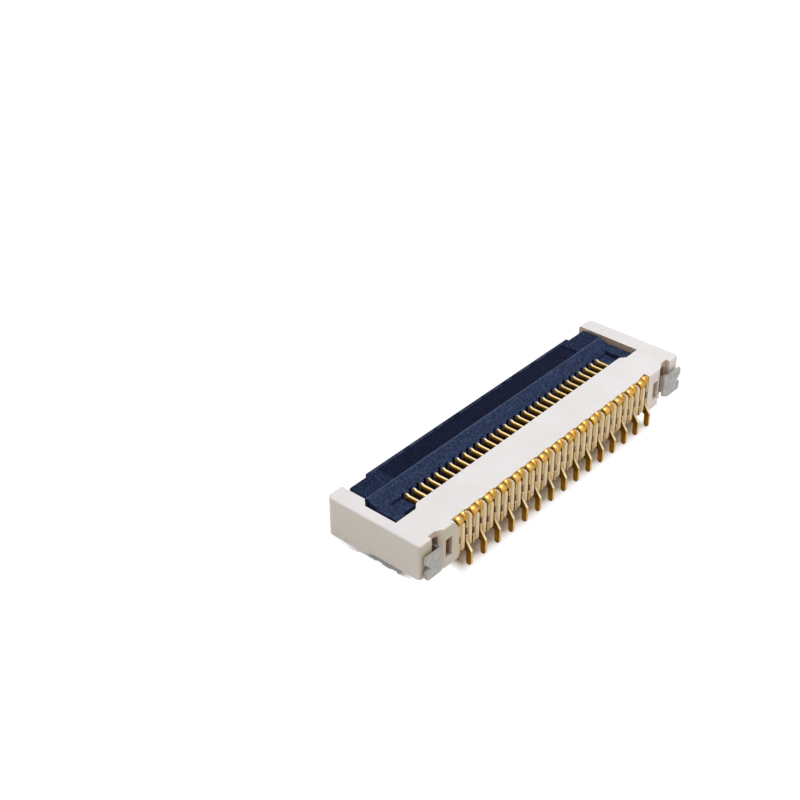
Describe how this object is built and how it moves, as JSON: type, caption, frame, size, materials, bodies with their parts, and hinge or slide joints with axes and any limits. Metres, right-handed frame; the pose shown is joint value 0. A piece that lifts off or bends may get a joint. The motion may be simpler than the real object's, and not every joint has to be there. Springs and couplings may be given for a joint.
{
  "type": "flat flexible cable connector",
  "caption": "Upright surface-mount connector for a flat flexible cable: ribbed housing, forked contacts with solder feet, two solder tabs and a hinged locking actuator.",
  "frame": {"origin": "middle of the row of contacts, in the plane of the circuit board, level with the housing's lower long face (z = 0)", "axes": "+X along the row of contacts; the circuit board is the plane y = 0 on the -Y side and the cable enters from +Y; +Z is across the housing, towards the side that the actuator lies on when it is closed"},
  "size_m": [0.0198, 0.0057, 0.0029],
  "materials": {
    "housing_resin": "moulded off-white liquid crystal polymer, matte",
    "actuator_resin": "moulded dark navy resin, matte with a fine grain",
    "tab_plating": "bright tin over nickel",
    "contact_plating": "thin gold over nickel on phosphor bronze"
  },
  "bodies": {
    "base": {"housing": "housing_resin", "solder_tab_left": "tab_plating", "solder_tab_right": "tab_plating", "contact_01": "contact_plating", "contact_02": "contact_plating", "contact_03": "contact_plating", "contact_04": "contact_plating", "contact_05": "contact_plating", "contact_06": "contact_plating", "contact_07": "contact_plating", "contact_08": "contact_plating", "contact_09": "contact_plating", "contact_10": "contact_plating", "contact_11": "contact_plating", "contact_12": "contact_plating", "contact_13": "contact_plating", "contact_14": "contact_plating", "contact_15": "contact_plating", "contact_16": "contact_plating", "contact_17": "contact_plating", "contact_18": "contact_plating", "contact_19": "contact_plating", "contact_20": "contact_plating", "contact_21": "contact_plating", "contact_22": "contact_plating", "contact_23": "contact_plating", "contact_24": "contact_plating", "contact_25": "contact_plating", "contact_26": "contact_plating", "contact_27": "contact_plating", "contact_28": "contact_plating", "contact_29": "contact_plating", "contact_30": "contact_plating"},
    "flip": {"actuator": "actuator_resin"}
  },
  "joints": [
    {"name": "actuator_hinge", "type": "hinge", "parent": "base", "child": "flip", "pos_m": [0, 0.003, 0.00129], "axis": [1, 0, 0], "range_deg": [0, 90]}
  ]
}
